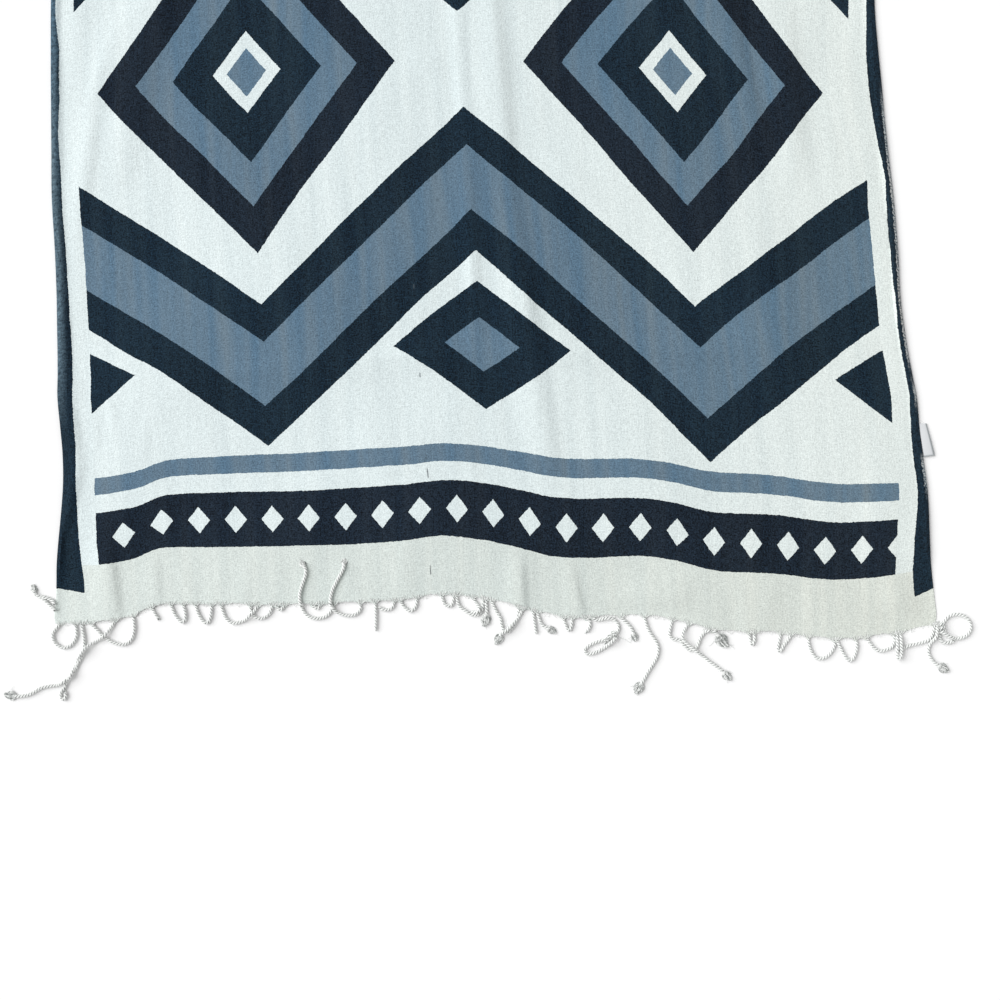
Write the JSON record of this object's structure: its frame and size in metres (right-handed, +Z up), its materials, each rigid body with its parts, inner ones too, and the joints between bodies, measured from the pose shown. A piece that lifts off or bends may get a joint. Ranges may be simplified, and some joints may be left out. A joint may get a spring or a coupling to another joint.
{
  "type": "scarf",
  "caption": "Long rectangular scarf laid flat: plain-weave cotton panel with rolled selvedges, soft folds, a bare care label and curly twisted-cord fringe at both hems",
  "frame": {"origin": "middle of the cloth's flat underside, halfway between the hems, on the surface that it lies on", "axes": "+X across the scarf, +Y along it from the near hem to the far hem, +Z up from the surface to the face side"},
  "size_m": [0.6279, 1.9068, 0.0056],
  "materials": {
    "printed_cotton": "matt plain-weave cotton, very pale blue grey, printed in navy, charcoal and slate",
    "fringe_cord": "matt two-ply twisted cotton cord, frayed at its ends",
    "label_tape": "smooth woven tape, bare"
  },
  "bodies": {
    "root": {"cloth": "printed_cotton", "fringe_near": "fringe_cord", "fringe_far": "fringe_cord", "care_label": "label_tape"}
  },
  "joints": []
}
